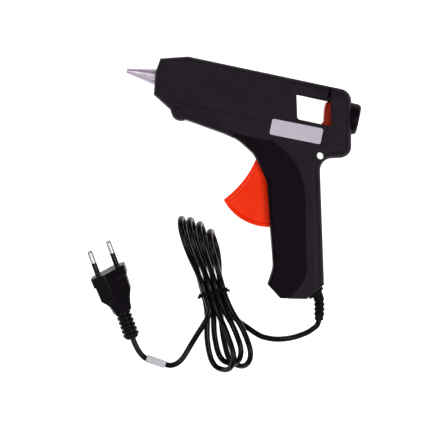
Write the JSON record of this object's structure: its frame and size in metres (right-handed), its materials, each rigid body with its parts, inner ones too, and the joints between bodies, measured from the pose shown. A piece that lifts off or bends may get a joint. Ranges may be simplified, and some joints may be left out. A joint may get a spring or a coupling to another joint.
{
  "type": "hot glue gun",
  "caption": "Hot glue gun with a lever trigger, open side window, metal nozzle, and a mains lead tied in a hank with a two-pin plug.",
  "frame": {"origin": "on the surface that the gun lies on, straight below the trigger's pivot", "axes": "+X back along the barrel (the nozzle points to -X), +Y up the gun (the handle runs down to -Y), +Z across its width, away from the surface"},
  "size_m": [0.1712, 0.2177, 0.0291],
  "materials": {
    "casing_black": "satin",
    "trigger_orange": "satin",
    "steel": "polished",
    "nozzle_metal": "satin",
    "silicone": "matte",
    "ceramic": "matte",
    "cord_black": "satin",
    "plate_grey": "satin",
    "tag_white": "matte",
    "wire_blue": "satin"
  },
  "bodies": {
    "casing": {"left_shell": "casing_black", "right_shell": "casing_black", "rear_collar": "casing_black", "rating_plate": "plate_grey", "nozzle": "nozzle_metal", "heating_barrel": "nozzle_metal", "front_ring": "ceramic", "heater_element": "ceramic", "heater_clip": "steel", "feed_sleeve": "silicone", "sleeve_clamp": "steel", "trigger_pin": "steel", "return_spring": "steel", "lead_live": "cord_black", "heater_lead_live": "wire_blue", "crimp_live": "steel", "lead_neutral": "wire_blue", "heater_lead_neutral": "wire_blue", "crimp_neutral": "steel", "cord_inner_end": "cord_black", "cord_clamp_bar": "casing_black", "clamp_screw_1": "steel", "clamp_screw_2": "steel", "strain_relief": "cord_black", "cord_to_hank": "cord_black", "cord_hank": "cord_black", "cord_to_plug": "cord_black", "hank_tie": "cord_black", "cord_tag": "tag_white", "plug_body": "cord_black", "plug_pin_left": "steel", "plug_sleeve_left": "cord_black", "plug_pin_right": "steel", "plug_sleeve_right": "cord_black", "shell_screw_1": "steel", "shell_screw_2": "steel", "shell_screw_3": "steel", "shell_screw_4": "steel", "shell_screw_5": "steel", "shell_screw_6": "steel"},
    "trigger": {"trigger": "trigger_orange"},
    "pusher": {"pusher": "trigger_orange", "drive_pin": "steel"}
  },
  "joints": [
    {"name": "trigger_hinge", "type": "hinge", "parent": "casing", "child": "trigger", "pos_m": [0, 0, 0.0145], "axis": [0, 0, 1], "range_deg": [0, 25], "stiffness_Nm_per_rad": 0.25, "springref_deg": -8.59, "deforming": ["return_spring"]},
    {"name": "pusher_slide", "type": "slide", "parent": "casing", "child": "pusher", "axis": [-1, 0, 0], "range_m": [0, 0.0135]}
  ],
  "couplings": [
    {"joint": "pusher_slide", "follows": "trigger_hinge", "m_per_rad": 0.0309}
  ]
}
